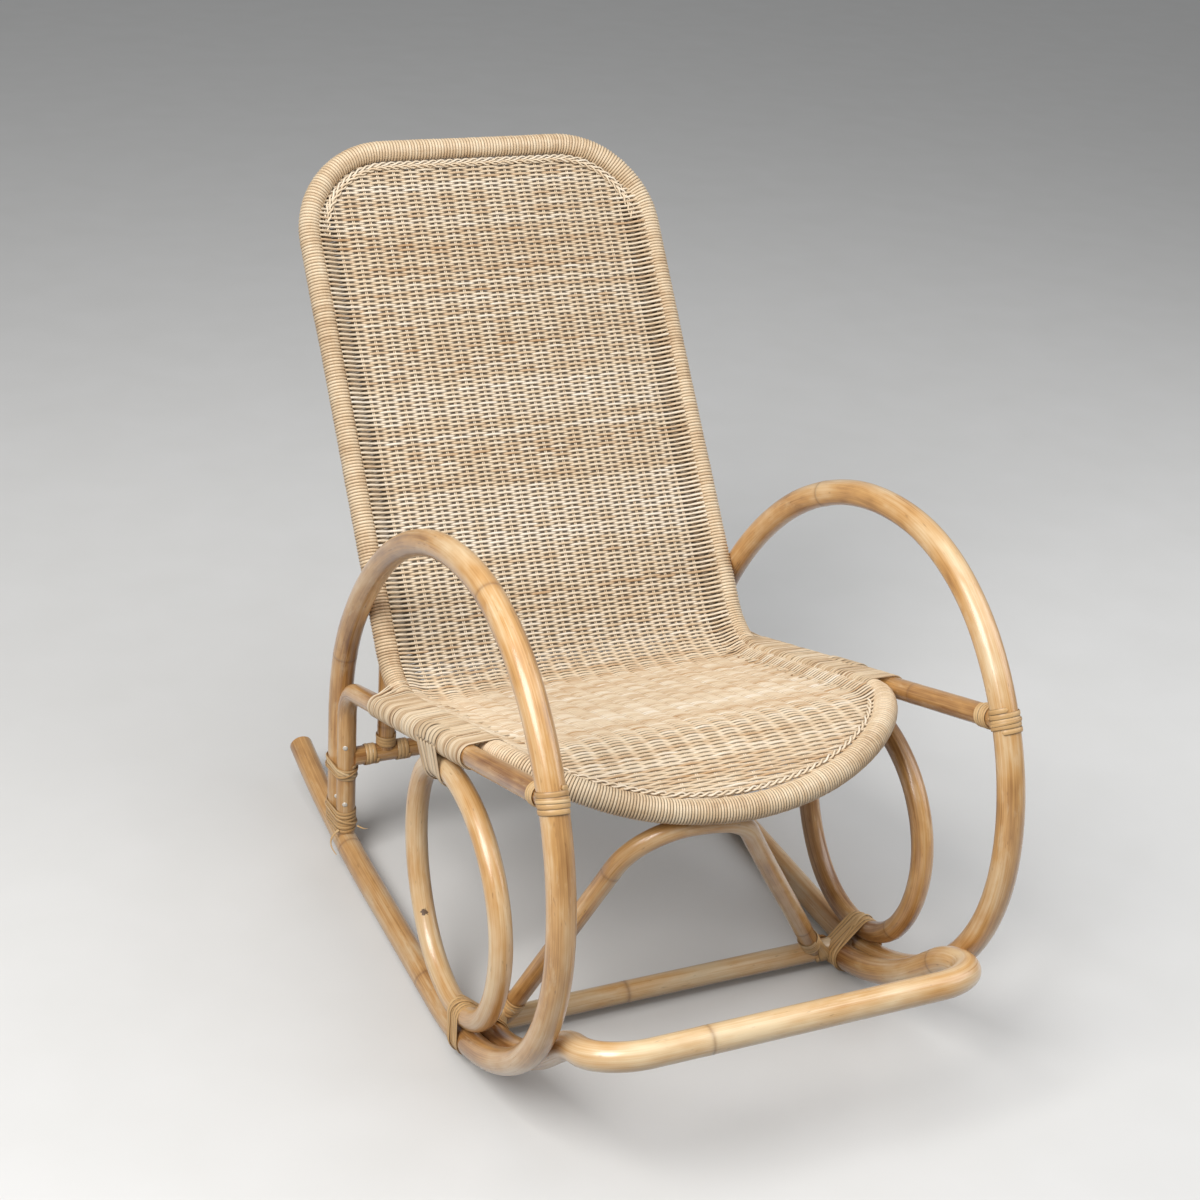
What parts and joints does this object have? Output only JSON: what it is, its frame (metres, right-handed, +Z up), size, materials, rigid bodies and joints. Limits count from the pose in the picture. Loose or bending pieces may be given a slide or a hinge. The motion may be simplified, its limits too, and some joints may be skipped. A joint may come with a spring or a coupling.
{
  "type": "rattan rocking chair",
  "caption": "Rocking chair of bent rattan poles with looped arms, side hoops, a foot bar and a reclined woven cane seat.",
  "frame": {"origin": "on the floor, under the middle of the chair's length and width", "axes": "+Z up, -Y towards the front of the seat (the way the sitter faces), +X to the sitter's left"},
  "size_m": [0.6438, 1.231, 0.9674],
  "materials": {
    "rattan_pole": "varnished",
    "wrapped_rim": "satin",
    "cane_weave": "satin",
    "cane_lashing": "satin"
  },
  "bodies": {
    "root": {"right_side_pole": "rattan_pole", "left_side_pole": "rattan_pole", "right_seat_rail": "rattan_pole", "left_seat_rail": "rattan_pole", "right_hoop": "rattan_pole", "left_hoop": "rattan_pole", "front_stretcher": "rattan_pole", "foot_bar": "rattan_pole", "arch_brace": "rattan_pole", "rear_crossbar": "rattan_pole", "back_brace": "rattan_pole", "back_rim": "wrapped_rim", "seat_rim": "wrapped_rim", "woven_panel": "cane_weave", "right_seat_wing": "cane_weave", "left_seat_wing": "cane_weave", "post_lashings": "cane_lashing", "rail_lashings": "cane_lashing", "upper_leg_lashings": "cane_lashing", "lower_leg_lashings": "cane_lashing", "hoop_foot_lashings": "cane_lashing", "arch_lashings": "cane_lashing", "brace_lashings": "cane_lashing"}
  },
  "joints": []
}
